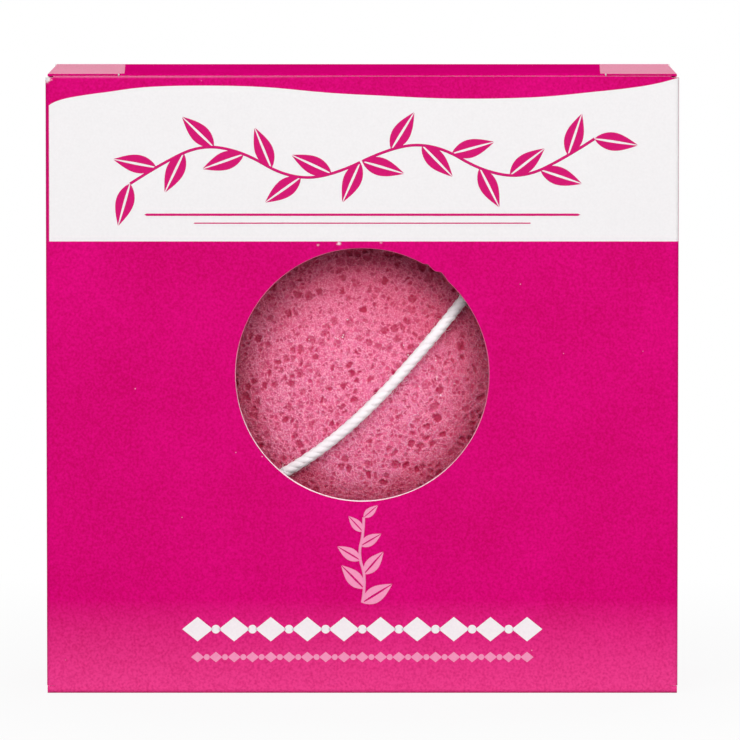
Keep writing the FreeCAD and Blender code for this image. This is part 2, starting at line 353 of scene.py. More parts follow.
# %% Twine tree, swept
ring = add("GeometryNodeCurvePrimitiveCircle", {
    "Resolution": 9, "Radius": given["Strand Radius"]}, mode="RADIUS")
keep_length = add("GeometryNodeCaptureAttribute", {"Geometry": laid})
keep_length.capture_items.new("FLOAT", "Run")
twine_tree.links.new(along.outputs["Length"], keep_length.inputs["Run"])
keep_turn = add("GeometryNodeCaptureAttribute", {"Geometry": ring})
keep_turn.capture_items.new("FLOAT", "Turn")
twine_tree.links.new(along.outputs["Factor"], keep_turn.inputs["Turn"])
strands = add("GeometryNodeCurveToMesh", {
    "Curve": keep_length.outputs["Geometry"], "Profile Curve": keep_turn.outputs["Geometry"],
    "Fill Caps": True})
run = add("ShaderNodeMath", keep_length.outputs["Run"], 1000.0, operation="MULTIPLY")
# The yarn inside a strand twists back against the strands, one turn in 3 mm
back_twist = add("ShaderNodeMath", run, -1 / 3.0, keep_turn.outputs["Turn"], operation="MULTIPLY_ADD")
turn = add("ShaderNodeMath", back_twist, math.tau, operation="MULTIPLY")
cosine = add("ShaderNodeMath", turn, operation="COSINE")
sine = add("ShaderNodeMath", turn, operation="SINE")
yarn = add("ShaderNodeCombineXYZ", run, cosine, sine)
named = add("GeometryNodeStoreNamedAttribute", {
    "Geometry": strands, "Name": "yarn_place", "Value": yarn}, data_type="FLOAT_VECTOR", domain="POINT")
smooth = add("GeometryNodeSetShadeSmooth", {"Geometry": named})
close_tree(add, smooth, given["Material"])
string_diameter = 1.7
# Soft strands press together: each is wider than half the string, and the grooves between them are shallow
ply_radius = 0.36 * string_diameter
helix_radius = 0.115 * string_diameter
string_loop = grow(string_line, twine_tree, {
    "Strand Radius": ply_radius * MM, "Helix Radius": helix_radius * MM, "Pitch": 3.9 * MM, "Flare": 0.0,
    "Material": cotton}, "cotton_string")
print("string mesh", len(string_loop.data.polygons), "faces")

# %% [markdown]
# ## Knot and tails
# Behind the sponge the two ends are tied in an overhand knot with short tails. A sphere would do for its
# size; the knot here is a real crossing line, drawn as a trefoil and laid up from the same twine, and the
# tails open at their tips as cut cotton does.

# %% Knot
knot_centre = Vector((12.15, 16.45, 55.7))
knot_width = 0.42
knot_depth = 0.55
knot_line = []
for i in range(34):
    t = 0.35 + math.tau * i / 32
    knot_line.append(knot_centre + Vector((
        knot_width * (math.sin(t) + 2 * math.sin(2 * t)),
        knot_depth * -math.sin(3 * t),
        knot_width * (math.cos(t) - 2 * math.cos(2 * t)))))
tail_steps = [
    [(0.4, 0, 0), (2.2, 0.3, -1.2), (4.4, 0.1, -3.9), (6.9, -0.1, -5.4)],
    [(0, 0, -0.4), (0.3, 0.3, -2.4), (-0.4, 0.1, -5.0), (0.9, 0.0, -8.6)],
]
tails = [[knot_centre + Vector(step) for step in steps] for steps in tail_steps]
knot_base = nurbs_lines("knot_line", [knot_line, *tails])
string_knot = grow(knot_base, twine_tree, {
    "Strand Radius": 0.27 * MM, "Helix Radius": 0.31 * MM, "Pitch": 3.4 * MM, "Flare": 1.1,
    "Material": cotton}, "cotton_knot")
print("knot mesh", len(string_knot.data.polygons), "faces")

# %% [markdown]
# ## Stray fibres
# Spun cotton is never clean: short fibres stand out of it and soften its edge. Hair particles would not
# be exported, so a second tree scatters small curved fibres over the strands and makes them real mesh.

# %% Fibre tree
fibre_tree, add, given = new_tree("stray_fibres", {
    "Density": "Float", "Length": "Float", "Material": "Material"})
spots = add("GeometryNodeDistributePointsOnFaces", {
    "Mesh": given["Geometry"], "Density": given["Density"], "Seed": 7})
# A fibre bows out for 0.7 mm from a root inside the strand, and is drawn 0.03 mm thick so that it shows
arc = add("GeometryNodeCurveQuadraticBezier", {
    "Resolution": 4, "Start": (0, 0, -0.0001), "Middle": (0.0001, 0, 0.0003),
    "End": (0.0007, 0.0001, 0.00035)})
thread = add("GeometryNodeCurvePrimitiveCircle", {"Resolution": 3, "Radius": 0.000016}, mode="RADIUS")
fibre = add("GeometryNodeCurveToMesh", {"Curve": arc, "Profile Curve": thread, "Fill Caps": True})
spin = add("FunctionNodeRandomValue", {"Min": 0.0, "Max": math.tau, "Seed": 3}, data_type="FLOAT")
about = add("ShaderNodeCombineXYZ", {2: spin})
twisted = add("FunctionNodeRotateRotation", {
    "Rotation": spots.outputs["Rotation"], "Rotate By": about}, rotation_space="LOCAL")
size = add("FunctionNodeRandomValue", {"Min": 0.35, "Max": 1.25, "Seed": 5}, data_type="FLOAT")
scaled = add("ShaderNodeMath", size, given["Length"], operation="MULTIPLY")
put = add("GeometryNodeInstanceOnPoints", {
    "Points": spots, "Instance": fibre, "Rotation": twisted, "Scale": scaled})
close_tree(add, put, given["Material"])
# Density is counted on a square metre: here it is about one fibre on each square millimetre of yarn
string_fuzz = grow(string_loop, fibre_tree, {"Density": 1.1e6, "Length": 1.0, "Material": cotton},
                   "cotton_fuzz")
print("stray fibres", len(string_fuzz.data.polygons), "faces")

back_mouth = (0.0208, 0.0128, 0.0639)
front_mouth = (0.0208, -0.0078, 0.0639)
for piece in (string_loop, string_knot, string_fuzz):
    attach(piece, "sponge")
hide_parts("string_loop")
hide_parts("string_knot")
print("string declared as a cord, with", string_knot.name, "and", string_fuzz.name)

# %% [markdown]
# ## The puff's skin
# The sponge is a domed puff: a high crown in front, a flatter one behind and a round rim. A sphere from
# the menu has poles that pinch, and a remesh has no say in where it is fine. Here rings of points run from
# pole to pole along the profile, each with as many points as its length asks, finer where the window shows
# the sponge.

# %% Puff profile
puff_radius = 41.0
puff_height = 42.25
rim_y = 4.0
rim_radius = 8.0
front_rise = 19.8
back_rise = 11.6


def crown(rise):
    """Radius of a crown that meets the round rim smoothly, and the angle where it does."""
    rim_centre = puff_radius - rim_radius
    radius = (rim_centre**2 + rise**2 - rim_radius**2) / (2 * (rise - rim_radius))
    return radius, math.asin(rim_centre / (radius - rim_radius))


def puff_profile():
    """Distance from the axis and depth, from the front pole over the rim to the back pole."""
    front, front_end = crown(front_rise)
    back, back_end = crown(back_rise)
    points = []
    for angle in np.linspace(0, front_end, 400):
        points.append((front * math.sin(angle), rim_y - front_rise + front * (1 - math.cos(angle))))
    for angle in np.linspace(front_end, math.pi - back_end, 300)[1:-1]:
        across = puff_radius - rim_radius + rim_radius * math.sin(angle)
        points.append((across, rim_y - rim_radius * math.cos(angle)))
    for angle in np.linspace(back_end, 0, 400):
        points.append((back * math.sin(angle), rim_y + back_rise - back * (1 - math.cos(angle))))
    return np.array(points)


profile = puff_profile()
steps = np.hypot(*np.diff(profile, axis=0).T)
run = np.concatenate([[0], np.cumsum(steps)])
print("profile", round(run[-1], 1), "mm from pole to pole")

# %% Puff mesh
# Steps from ring to ring in millimetres: fine in front, coarse once the window's edge hides the skin
fine = 0.21
coarse = 0.45
fine_until = 20
coarse_from = 26
stations = [0.0]
while stations[-1] < run[-1]:
    hidden = min(1, max(0, (stations[-1] - fine_until) / (coarse_from - fine_until)))
    stations.append(stations[-1] + fine + (coarse - fine) * hidden)
stations = np.array(stations) * run[-1] / stations[-1]
rings = []
vertices = []
for k, s in enumerate(stations):
    rho = np.interp(s, run, profile[:, 0])
    depth = np.interp(s, run, profile[:, 1])
    gap = stations[min(k + 1, len(stations) - 1)] - stations[max(k - 1, 0)]
    count = 1 if rho < 1e-6 else max(6, round(2 * math.tau * rho / gap))
    rings.append(range(len(vertices), len(vertices) + count))
    for i in range(count):
        turn = math.tau * (i + 0.5 * (k % 2)) / count
        vertices.append((rho * math.cos(turn) * MM, depth * MM, (puff_height + rho * math.sin(turn)) * MM))


def zip_rings(inner, outer, shift_inner, shift_outer):
    """Triangles between two rings of different counts, each step taken where it lags behind."""
    faces = []
    i = 0
    j = 0
    used_up = math.inf
    while i < len(inner) or j < len(outer):
        next_inner = (i + 1 + shift_inner) / len(inner) if i < len(inner) and len(inner) > 1 else used_up
        next_outer = (j + 1 + shift_outer) / len(outer) if j < len(outer) and len(outer) > 1 else used_up
        if next_inner == used_up and next_outer == used_up:
            break
        a = inner[i % len(inner)]
        b = outer[j % len(outer)]
        if next_inner < next_outer:
            faces.append((a, inner[(i + 1) % len(inner)], b))
            i += 1
        else:
            faces.append((a, outer[(j + 1) % len(outer)], b))
            j += 1
    return faces


triangles = []
for k in range(len(rings) - 1):
    triangles += zip_rings(rings[k], rings[k + 1], 0.5 * (k % 2), 0.5 * ((k + 1) % 2))
puff_mesh = bpy.data.meshes.new("puff_skin")
puff_mesh.from_pydata(vertices, [], triangles)
puff_mesh.validate()
bm = bmesh.new()
bm.from_mesh(puff_mesh)
bmesh.ops.recalc_face_normals(bm, faces=bm.faces)
open_edges = sum(1 for edge in bm.edges if not edge.is_manifold)
bm.to_mesh(puff_mesh)
bm.free()
puff_base = bpy.data.objects.new("puff_skin", puff_mesh)
bpy.context.collection.objects.link(puff_base)
print("puff skin", len(triangles), "triangles,", open_edges, "open edges")

# %% [markdown]
# ## Pores
# Konjac sponge is a frozen and thawed gel: a fine web of cells, some closed by a film and some open as
# dark round pores 0.3 to 1 mm across. Two Voronoi patterns, of large and of small cells, sink the pores in
# the node tree and colour them in the shader. Both read the place on the smooth skin, stored before it is
# moved, so that colour and pits agree.


# %% Pore pattern
def pore_fields(add, place):
    """Large and small pores, the web round them and a tone for each small cell, at a place in mm."""
    noise = add("ShaderNodeTexNoise", {"Vector": place, "Scale": 1 / 0.7, "Detail": 2.0})
    shift = add("ShaderNodeVectorMath", noise.outputs["Color"], (0.5, 0.5, 0.5), operation="SUBTRACT")
    moved = add("ShaderNodeVectorMath", shift, (0.35, 0.35, 0.35), place, operation="MULTIPLY_ADD")
    pores = []
    walls = []
    # Cell size, wall thickness and width of the lip in millimetres, and the share of cells left closed
    for cell, wall, lip, closed in ((1.32, 0.09, 0.20, 0.14), (0.64, 0.05, 0.11, 0.16)):
        cells = add("ShaderNodeTexVoronoi", {"Vector": moved, "Scale": 1 / cell})
        edges = add("ShaderNodeTexVoronoi", {"Vector": moved, "Scale": 1 / cell}, feature="DISTANCE_TO_EDGE")
        inner = add("ShaderNodeMapRange", {
            "Value": edges, "From Min": wall / cell, "From Max": (wall + lip) / cell},
            interpolation_type="SMOOTHSTEP")
        # A pore is round, so the far corners of its cell stay closed
        rounded = add("ShaderNodeMapRange", {
            "Value": cells.outputs["Distance"], "From Min": 0.62, "From Max": 0.40},
            interpolation_type="SMOOTHSTEP")
        inside = add("ShaderNodeMath", inner, rounded, operation="MULTIPLY")
        # Some pores are open and deep, others are nearly closed by a film
        draw = add("ShaderNodeSeparateXYZ", cells.outputs["Color"])
        openness = add("ShaderNodeMapRange", {
            "Value": draw.outputs["Y"], "From Min": closed, "From Max": 1.0})
        pores.append(add("ShaderNodeMath", inside, openness, operation="MULTIPLY"))
        walls.append(add("ShaderNodeMapRange", {
            "Value": edges, "From Min": 0.02 / cell, "From Max": (wall + lip) / cell,
            "To Min": 1.0, "To Max": 0.0}))
        cell_tone = draw.outputs["X"]
    web = add("ShaderNodeMath", walls[0], walls[1], operation="MAXIMUM")
    return pores[0], pores[1], web, cell_tone


print("pore pattern of two sizes of cell")

# %% [markdown]
# ## Konjac
# Dry konjac is a pink, slightly translucent foam. Light enters it and comes out redder, so the shader
# scatters below the surface. The web of cell walls is paler, the films between are a clear pink, and the
# open pores are dark red because little light comes back out of them.

# %% Konjac material
konjac, add = new_material("konjac_foam")
place = add("ShaderNodeAttribute", attribute_name="puff_place").outputs["Vector"]
large, small, web, tone = pore_fields(add, place)
cloud = add("ShaderNodeTexNoise", {"Vector": place, "Scale": 1 / 9.0, "Detail": 3.0})
foam = add("ShaderNodeMix", {0: cloud, 6: linear("E85A8B"), 7: linear("F07FAB")}, data_type="RGBA")
grain = add("ShaderNodeTexNoise", {"Vector": place, "Scale": 1 / 0.22, "Detail": 2.0})
uneven = add("ShaderNodeMapRange", {"Value": grain, "From Min": 0.38, "From Max": 0.68})
web_share = add("ShaderNodeMath", web, uneven, operation="MULTIPLY")
# Laid over the ground colour in this order: each cell's tone, the pale web, the small pores, the large
layers = [(tone, 0.45, "D23A6C"), (web_share, 1.0, "FDAEC9"), (small, 0.75, "C02658"), (large, 0.9, "BA164C")]
for pattern, strength, shade in layers:
    share = add("ShaderNodeMath", pattern, strength, operation="MULTIPLY")
    foam = add("ShaderNodeMix", {0: share, 6: foam, 7: linear(shade)}, data_type="RGBA")
print("foam coloured in", len(layers), "layers")

# %% Konjac material, painted light and shade, and finish
# The foam is left pale on the front crown, palest a little left of and below the window's middle: painted
# light. Round that and at the back it is made deeper and redder: painted shade, and the steeper step just
# inside the window's edge is a painted shadow of the panel.
window_z = 45.6
depth = add("ShaderNodeSeparateXYZ", place).outputs["Y"]
painted_shade = add("ShaderNodeMapRange", {"Value": depth, "From Min": -8.0, "From Max": 4.0})
# Middle of each painted pale place, and the distances from it where the painted shade starts and is full
painted_light_places = [((-2.5, 0, window_z - 6.0), 8.0, 22.5), ((0, 0, window_z), 14.4, 18.2)]
for painted_light_middle, starts, full in painted_light_places:
    apart = add("ShaderNodeVectorMath", place, painted_light_middle, operation="SUBTRACT")
    flat = add("ShaderNodeVectorMath", apart, (1, 0, 1), operation="MULTIPLY")
    out = add("ShaderNodeVectorMath", flat, operation="LENGTH")
    # The edge of a pale place wanders by 4 mm to each side
    ragged = add("ShaderNodeMath", cloud, -8.0, out, operation="MULTIPLY_ADD")
    painted_shade_step = add("ShaderNodeMapRange", {
        "Value": ragged, "From Min": starts - 4.0, "From Max": full - 4.0}, interpolation_type="SMOOTHSTEP")
    painted_shade = add("ShaderNodeMath", painted_shade, painted_shade_step, operation="MAXIMUM")
# Painted shade: where the mask is full, the foam is multiplied by a pale pink and so made darker and redder
painted_shade_foam = add("ShaderNodeMix", {0: painted_shade, 6: foam, 7: linear("E8BDC6")}, data_type="RGBA", blend_type="MULTIPLY")
# Painted glints: white specks of about 0.1 mm here and there stand in for sparkling highlights, only
# where no painted shade lies
specks = add("ShaderNodeTexVoronoi", {"Vector": place, "Scale": 1 / 0.42})
chosen = add("ShaderNodeVectorMath", specks.outputs["Color"], (0, 1, 0), operation="DOT_PRODUCT")
rare = add("ShaderNodeMapRange", {"Value": chosen, "From Min": 0.93, "From Max": 0.97})
core = add("ShaderNodeMapRange", {"Value": specks.outputs["Distance"], "From Min": 0.35, "From Max": 0.2})
patch = add("ShaderNodeMapRange", {"Value": cloud, "From Min": 0.5, "From Max": 0.6})
outside_painted_shade = add("ShaderNodeMath", 1.0, painted_shade, operation="SUBTRACT")
painted_glint = rare
for share in (core, patch, outside_painted_shade):
    painted_glint = add("ShaderNodeMath", painted_glint, share, operation="MULTIPLY")
# The painted glints are laid over the foam as near-white colour
colour = add("ShaderNodeMix", {0: painted_glint, 6: painted_shade_foam, 7: linear("FFF2F6")}, data_type="RGBA")
relief = add("ShaderNodeMath", small, -0.6, web_share, operation="MULTIPLY_ADD")
bump = add("ShaderNodeBump", {"Height": relief, "Strength": 0.7, "Distance": 0.00012})
shader = add("ShaderNodeBsdfPrincipled", {
    "Base Color": colour, "Roughness": 0.5, "Specular IOR Level": 0.2, "Normal": bump,
    "Subsurface Weight": 0.45, "Subsurface Radius": (1.0, 0.22, 0.28), "Subsurface Scale": 0.0022})
add("ShaderNodeOutputMaterial", {"Surface": shader})
print("material", konjac.name)

# %% [markdown]
# ## Sinking the pores
# The tree stores the smooth place, sinks the pores, lets the whole puff sag a little unevenly, and presses
# a groove wherever the string lies and a dimple where it goes in. A sculpted or displaced surface could
# look the same, but here the pits follow the very pattern that the shader reads. All moves are inward, so
# the sponge stays inside its solid.

# %% Puff tree
puff_tree, add, given = new_tree("pored_puff", {
    "String": "Object", "Front Mouth": "Vector", "Back Mouth": "Vector", "Pore Depth": "Float",
    "Material": "Material"})
spot = add("GeometryNodeInputPosition")
spot_mm = add("ShaderNodeVectorMath", {0: spot, "Scale": 1000.0}, operation="SCALE")
kept = add("GeometryNodeStoreNamedAttribute", {
    "Geometry": given["Geometry"], "Name": "puff_place", "Value": spot_mm},
    data_type="FLOAT_VECTOR", domain="POINT")
large, small, _, _ = pore_fields(add, spot_mm)
small_depth = add("ShaderNodeMath", small, 0.4, operation="MULTIPLY")
deepest = add("ShaderNodeMath", large, small_depth, operation="MAXIMUM")
pits = add("ShaderNodeMath", deepest, given["Pore Depth"], operation="MULTIPLY")
swell = add("ShaderNodeTexNoise", {"Vector": spot_mm, "Scale": 1 / 16.0, "Detail": 2.0})
sag = add("ShaderNodeMath", swell, 0.0005, pits, operation="MULTIPLY_ADD")
cord_info = add("GeometryNodeObjectInfo", {"Object": given["String"]})
cord_edges = add("GeometryNodeCurveToMesh", {"Curve": cord_info.outputs["Geometry"]})
near = add("GeometryNodeProximity", cord_edges, target_element="EDGES")
# The skin gives way under the string by nearly its radius, and a very little beside it
groove = 0.78 * MM
press = add("ShaderNodeMapRange", {
    "Value": near.outputs["Distance"], "From Max": groove, "To Min": groove, "To Max": 0.0})
pressed = add("ShaderNodeMath", sag, press, operation="MAXIMUM")
shoulder = add("ShaderNodeMapRange", {
    "Value": near.outputs["Distance"], "From Min": 0.0008, "From Max": 0.0024,
    "To Min": 0.00006, "To Max": 0.0}, interpolation_type="SMOOTHSTEP")
inward = add("ShaderNodeMath", pressed, shoulder, operation="ADD")
print("pores and groove laid out")

# %% Puff tree, dimples
for mouth in ("Front Mouth", "Back Mouth"):
    away = add("ShaderNodeVectorMath", spot, given[mouth], operation="DISTANCE")
    dimple = add("ShaderNodeMapRange", {
        "Value": away, "From Min": 0.0006, "From Max": 0.0045, "To Min": 0.0019, "To Max": 0.0},
        interpolation_type="SMOOTHSTEP")
    inward = add("ShaderNodeMath", inward, dimple, operation="ADD")
facing = add("GeometryNodeInputNormal")
into = add("ShaderNodeMath", inward, -1.0, operation="MULTIPLY")
move = add("ShaderNodeVectorMath", {0: facing, "Scale": into}, operation="SCALE")
cut = add("GeometryNodeSetPosition", {"Geometry": kept, "Offset": move})
smooth = add("GeometryNodeSetShadeSmooth", {"Geometry": cut})
close_tree(add, smooth, given["Material"])
sponge = grow(puff_base, puff_tree, {
    "String": string_line, "Front Mouth": front_mouth, "Back Mouth": back_mouth, "Pore Depth": 0.24 * MM,
    "Material": konjac}, "konjac_sponge")
bpy.data.objects.remove(puff_base)
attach(sponge, "sponge")
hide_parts("sponge_body")
print("sponge", len(sponge.data.polygons), "triangles")

# %% [markdown]
# ## Printed board
# The carton is white-lined board, offset printed in magenta and varnished satin. The ink is not quite
# even: it mottles with the board's fibres, shows a pinhole here and there, and is paler along the base.
# One function makes the board, and a small function for each kind of panel says where the ink goes,
# all on Object coordinates, so that the print runs on over the folds.


# %% Where the ink goes
def place_in_mm(add):
    """The place on the piece itself, in millimetres."""
    own_place = add("ShaderNodeTexCoord").outputs["Object"]
    return add("ShaderNodeVectorMath", {0: own_place, "Scale": 1000.0}, operation="SCALE")


def within(add, *limits):
    """One where every value is past its second limit, and nought where any is short of its first."""
    region = None
    for value, closed, opened in limits:
        part = add("ShaderNodeMapRange", {"Value": value, "From Min": closed, "From Max": opened})
        if region is None:
            region = part
        else:
            region = add("ShaderNodeMath", region, part, operation="MULTIPLY")
    return region


def worn_spot(add, x, z, across, height, radius):
    """One inside a ragged round spot of the front and nought outside it."""
    spot = add("ShaderNodeCombineXYZ", x, z)
    noise = add("ShaderNodeTexNoise", {"Vector": spot, "Scale": 1 / 0.45, "Detail": 2.0})
    away = add("ShaderNodeVectorMath", spot, (across, height, 0), operation="DISTANCE")
    ragged = add("ShaderNodeMath", noise, 2.2 * radius, away, operation="MULTIPLY_ADD")
    return within(add, (ragged, 2.15 * radius, 1.35 * radius))


def ink_round_band(add, x, y, z):
    """Magenta all over, apart from a plain white band with a wavy upper edge across the front."""
    share = add("ShaderNodeMapRange", {"Value": x, "From Min": -45.0, "From Max": 45.0})
    wave = add("ShaderNodeFloatCurve", {"Value": share})
    line = wave.mapping.curves[0]
    # Share of the width and share of the 83 to 88 mm range
    for place in ((0.09, 0.55), (0.24, 0.75), (0.50, 0.49), (0.69, 0.38), (0.87, 0.58)):
        line.points.new(*place)
    line.points[0].location = (0.0, 0.10)
    line.points[len(line.points) - 1].location = (1.0, 0.98)
    wave.mapping.update()
    upper = add("ShaderNodeMath", wave, 5.0, 83.0, operation="MULTIPLY_ADD")
    below = add("ShaderNodeMath", upper, z, operation="SUBTRACT")
    bare = within(add, (below, -0.025, 0.025), (z, 64.575, 64.625), (x, -44.525, -44.475),
                  (x, 44.975, 44.925))
    # Place across, height and radius of each worn spot in millimetres, and how bare it is: three chips
    # under the band, and the upper left corner, worn through to the white board
    worn_spots = [(-6.3, 64.1, 0.22, 0.35), (-3.3, 64.38, 0.34, 0.75), (2.7, 64.4, 0.2, 0.3),
                  (-44.75, 87.75, 0.6, 1.0)]
    for across, height, radius, bared in worn_spots:
        spot = worn_spot(add, x, z, across, height, radius)
        chip = add("ShaderNodeMath", spot, bared, operation="MULTIPLY")
        bare = add("ShaderNodeMath", bare, chip, operation="MAXIMUM")
    front_only = within(add, (y, -18.325, -18.375))
    bare = add("ShaderNodeMath", bare, front_only, operation="MULTIPLY")
    return add("ShaderNodeMath", 1.0, bare, operation="SUBTRACT")


def ink_at_dust_fold(add, x, y, z):
    """White board with the magenta bleeding a few millimetres over the fold at the side."""
    away = add("ShaderNodeMath", x, operation="ABSOLUTE")
    return within(add, (away, 40.375, 40.425))


def ink_at_tuck_fold(add, x, y, z):
    """White board with the magenta bleeding a few millimetres down the tuck flap."""
    middle = add("ShaderNodeMath", z, 44.2, operation="SUBTRACT")
    away = add("ShaderNodeMath", middle, operation="ABSOLUTE")
    return within(add, (away, 38.975, 39.025))


print("three layouts of the ink")


# %% Printed board material
def coated_board(name, ink, roughness, specular):
    """Coated board with magenta print where ink says, under a satin varnish."""
    material, add = new_material(name)
    spot_mm = place_in_mm(add)
    x, y, z = add("ShaderNodeSeparateXYZ", spot_mm).outputs
    cover = ink(add, x, y, z)
    # Mottle of the ink: 0.35 mm fibre flocks and 14 mm drifts of the press
    flocks = add("ShaderNodeTexNoise", {"Vector": spot_mm, "Scale": 1 / 0.35, "Detail": 2.0})
    drift = add("ShaderNodeTexNoise", {"Vector": spot_mm, "Scale": 1 / 14.0, "Detail": 2.0})
    both = add("ShaderNodeMath", drift, 0.4, flocks, operation="MULTIPLY_ADD")
    shade = add("ShaderNodeMapRange", {"Value": both, "From Min": 0.4, "From Max": 1.0})
    magenta = add("ShaderNodeMix", {0: shade, 6: linear("BC0059"), 7: linear("DB057D")}, data_type="RGBA")
    # Paler over the lowest 13 mm, more where the board's fibres stand up
    base = add("ShaderNodeMapRange", {"Value": z, "From Min": 13.5, "From Max": 1.0, "To Max": 0.8})
    fibres = add("ShaderNodeMapRange", {"Value": flocks, "From Min": 0.25, "From Max": 0.6, "To Min": 0.5})
    paler_low = add("ShaderNodeMath", base, fibres, operation="MULTIPLY")
    ink_tone = add("ShaderNodeMix", {0: paler_low, 6: magenta, 7: linear("EC4690")}, data_type="RGBA")
    # A paler line along the top fold of the front, full at the left and fading out towards the middle: a
    # painted highlight of the rounded fold
    painted_fold_highlight = within(add, (z, 87.775, 88.025), (z, 88.13, 88.03), (x, -2.0, -26.0), (y, -18.475, -18.525))
    fold_highlight_share = add("ShaderNodeMath", painted_fold_highlight, 0.3, operation="MULTIPLY")
    ink_tone = add("ShaderNodeMix", {0: fold_highlight_share, 6: ink_tone, 7: linear("F4A0C4")}, data_type="RGBA")
    # Pinholes in the ink, one in some 4 mm, bare by as much as the fibres stand up there
    pits = add("ShaderNodeTexVoronoi", {"Vector": spot_mm, "Scale": 1 / 4.5})
    hole = within(add, (pits.outputs["Distance"], 0.022, 0.010))
    bare = add("ShaderNodeMath", hole, flocks, operation="MULTIPLY")
    sound = add("ShaderNodeMath", 1.0, bare, operation="SUBTRACT")
    inked = add("ShaderNodeMath", cover, sound, operation="MULTIPLY")
    board = add("ShaderNodeMix", {0: flocks, 6: linear("E3E1E2"), 7: linear("EBE9EA")}, data_type="RGBA")
    colour = add("ShaderNodeMix", {0: inked, 6: board, 7: ink_tone}, data_type="RGBA")
    finish = add("ShaderNodeMapRange", {
        "Value": flocks, "To Min": roughness - 0.06, "To Max": roughness + 0.06})
    # Board is never quite flat: it swells with the drifts, and its fibres give it a tooth
    height = add("ShaderNodeMath", drift, 6.0, flocks, operation="MULTIPLY_ADD")
    bump = add("ShaderNodeBump", {"Height": height, "Strength": 0.35, "Distance": 0.000012})
    shader = add("ShaderNodeBsdfPrincipled", {
        "Base Color": colour, "Roughness": finish, "Specular IOR Level": specular, "Normal": bump})
    add("ShaderNodeOutputMaterial", {"Surface": shader})
    return material


# Satin on the sleeve, matt in the middle of the lid, burnished at its ends, and plain white on the flaps
print_board = coated_board("offset_printed_board", ink_round_band, 0.4, 0.04)
lid_board = coated_board("offset_printed_lid", ink_round_band, 0.8, 0.0)
lid_end_board = coated_board("burnished_lid_end", ink_round_band, 0.3, 0.05)
dust_board = coated_board("white_dust_flap_board", ink_at_dust_fold, 0.5, 0.2)
tuck_board = coated_board("white_tuck_flap_board", ink_at_tuck_fold, 0.5, 0.2)
print("five printed boards")

# %% [markdown]
# ## Bare board
# Inside, the board is uncoated: greyish cream, matt, with fibre flecks. Its cut edge shows the white
# pulp core, rough from the knife.

# %% Reverse and cut edge
reverse_board, add = new_material("uncoated_board_reverse")
# Fibre flecks 0.3 mm wide and 1.6 mm long
long_way = add("ShaderNodeVectorMath", place_in_mm(add), (1 / 0.3, 1 / 0.3, 1 / 1.6), operation="MULTIPLY")
flecks = add("ShaderNodeTexNoise", {"Vector": long_way, "Scale": 1.0, "Detail": 4.0})
tone = add("ShaderNodeMix", {0: flecks, 6: linear("A9A398"), 7: linear("CFC9BD")}, data_type="RGBA")
bump = add("ShaderNodeBump", {"Height": flecks, "Strength": 0.5, "Distance": 0.00003})
shader = add("ShaderNodeBsdfPrincipled", {
    "Base Color": tone, "Roughness": 0.88, "Specular IOR Level": 0.25, "Normal": bump})
add("ShaderNodeOutputMaterial", {"Surface": shader})

core_board, add = new_material("board_pulp_core")
pulp = add("ShaderNodeTexNoise", {"Vector": place_in_mm(add), "Scale": 1 / 0.12, "Detail": 3.0})
tone = add("ShaderNodeMix", {0: pulp, 6: linear("DED6D2"), 7: linear("FAF6F3")}, data_type="RGBA")
bump = add("ShaderNodeBump", {"Height": pulp, "Strength": 0.6, "Distance": 0.00004})
shader = add("ShaderNodeBsdfPrincipled", {
    "Base Color": tone, "Roughness": 0.92, "Specular IOR Level": 0.2, "Normal": bump})
add("ShaderNodeOutputMaterial", {"Surface": shader})
print("materials", reverse_board.name, core_board.name)

# %% [markdown]
# ## The window's edge
# A knife die punched the window from the front. It pressed the print down in a narrow ring and bared the
# pulp there, unevenly. The ring is also painted paler towards the lower left, a painted highlight where
# light catches the edge, and pinker towards the upper right, painted shade.

# %% Window edge material
window_radius = 18.0
edge_board, add = new_material("die_cut_window_edge")
spot_mm = place_in_mm(add)
from_centre = add("ShaderNodeVectorMath", spot_mm, (0, 0, window_z), operation="SUBTRACT")
# Painted highlight towards the lower left of the ring, painted shade towards its upper right
painted_lit_side = add("ShaderNodeVectorMath", from_centre, (-0.3 / window_radius, 0, -0.95 / window_radius),
                 operation="DOT_PRODUCT")
ragged = add("ShaderNodeTexNoise", {"Vector": spot_mm, "Scale": 1 / 0.5, "Detail": 3.0})
mixed = add("ShaderNodeMath", ragged, 0.9, painted_lit_side, operation="MULTIPLY_ADD")
bared = add("ShaderNodeMapRange", {
    "Value": mixed, "From Min": 0.35, "From Max": 1.3, "To Min": 0.22, "To Max": 1.0})
tone = add("ShaderNodeMix", {0: bared, 6: linear("D80A72"), 7: linear("FADDE8")}, data_type="RGBA")
shader = add("ShaderNodeBsdfPrincipled", {"Base Color": tone, "Roughness": 0.8, "Specular IOR Level": 0.2})
add("ShaderNodeOutputMaterial", {"Surface": shader})
print("material", edge_board.name)

# %% [markdown]
# ## Flat panels and flaps
# Each flat piece of board is a copy of its CAD plate with its triangles joined again. Faces get their
# material by the way they look: print outside, bare board inside, pulp at the edges. Only raw edges are
# rounded a little; where a fold goes on, the edge stays square, so that no groove shows.


# %% Board pieces
def finish_mesh(bm, name, materials):
    """A mesh object from a bmesh, smooth round the folds and sharp where the material changes."""
    mesh = bpy.data.meshes.new(name)
    bm.edges.index_update()
    seams = [edge.index for edge in bm.edges if len({face.material_index for face in edge.link_faces}) > 1]
    bm.to_mesh(mesh)
    bm.free()
    for material in materials:
        mesh.materials.append(material)
    mesh.shade_smooth()
    mesh.set_sharp_from_angle(angle=math.radians(20))
    # Large flat faces keep their own normal, so that the small round edges cast no streaks over them
    for face in mesh.polygons:
        face.use_smooth = face.area < 20 * MM * MM and max(abs(v) for v in face.normal) < 0.9999
    for i in seams:
        mesh.edges[i].use_edge_sharp = True
    made = bpy.data.objects.new(name, mesh)
    bpy.context.collection.objects.link(made)
    return made


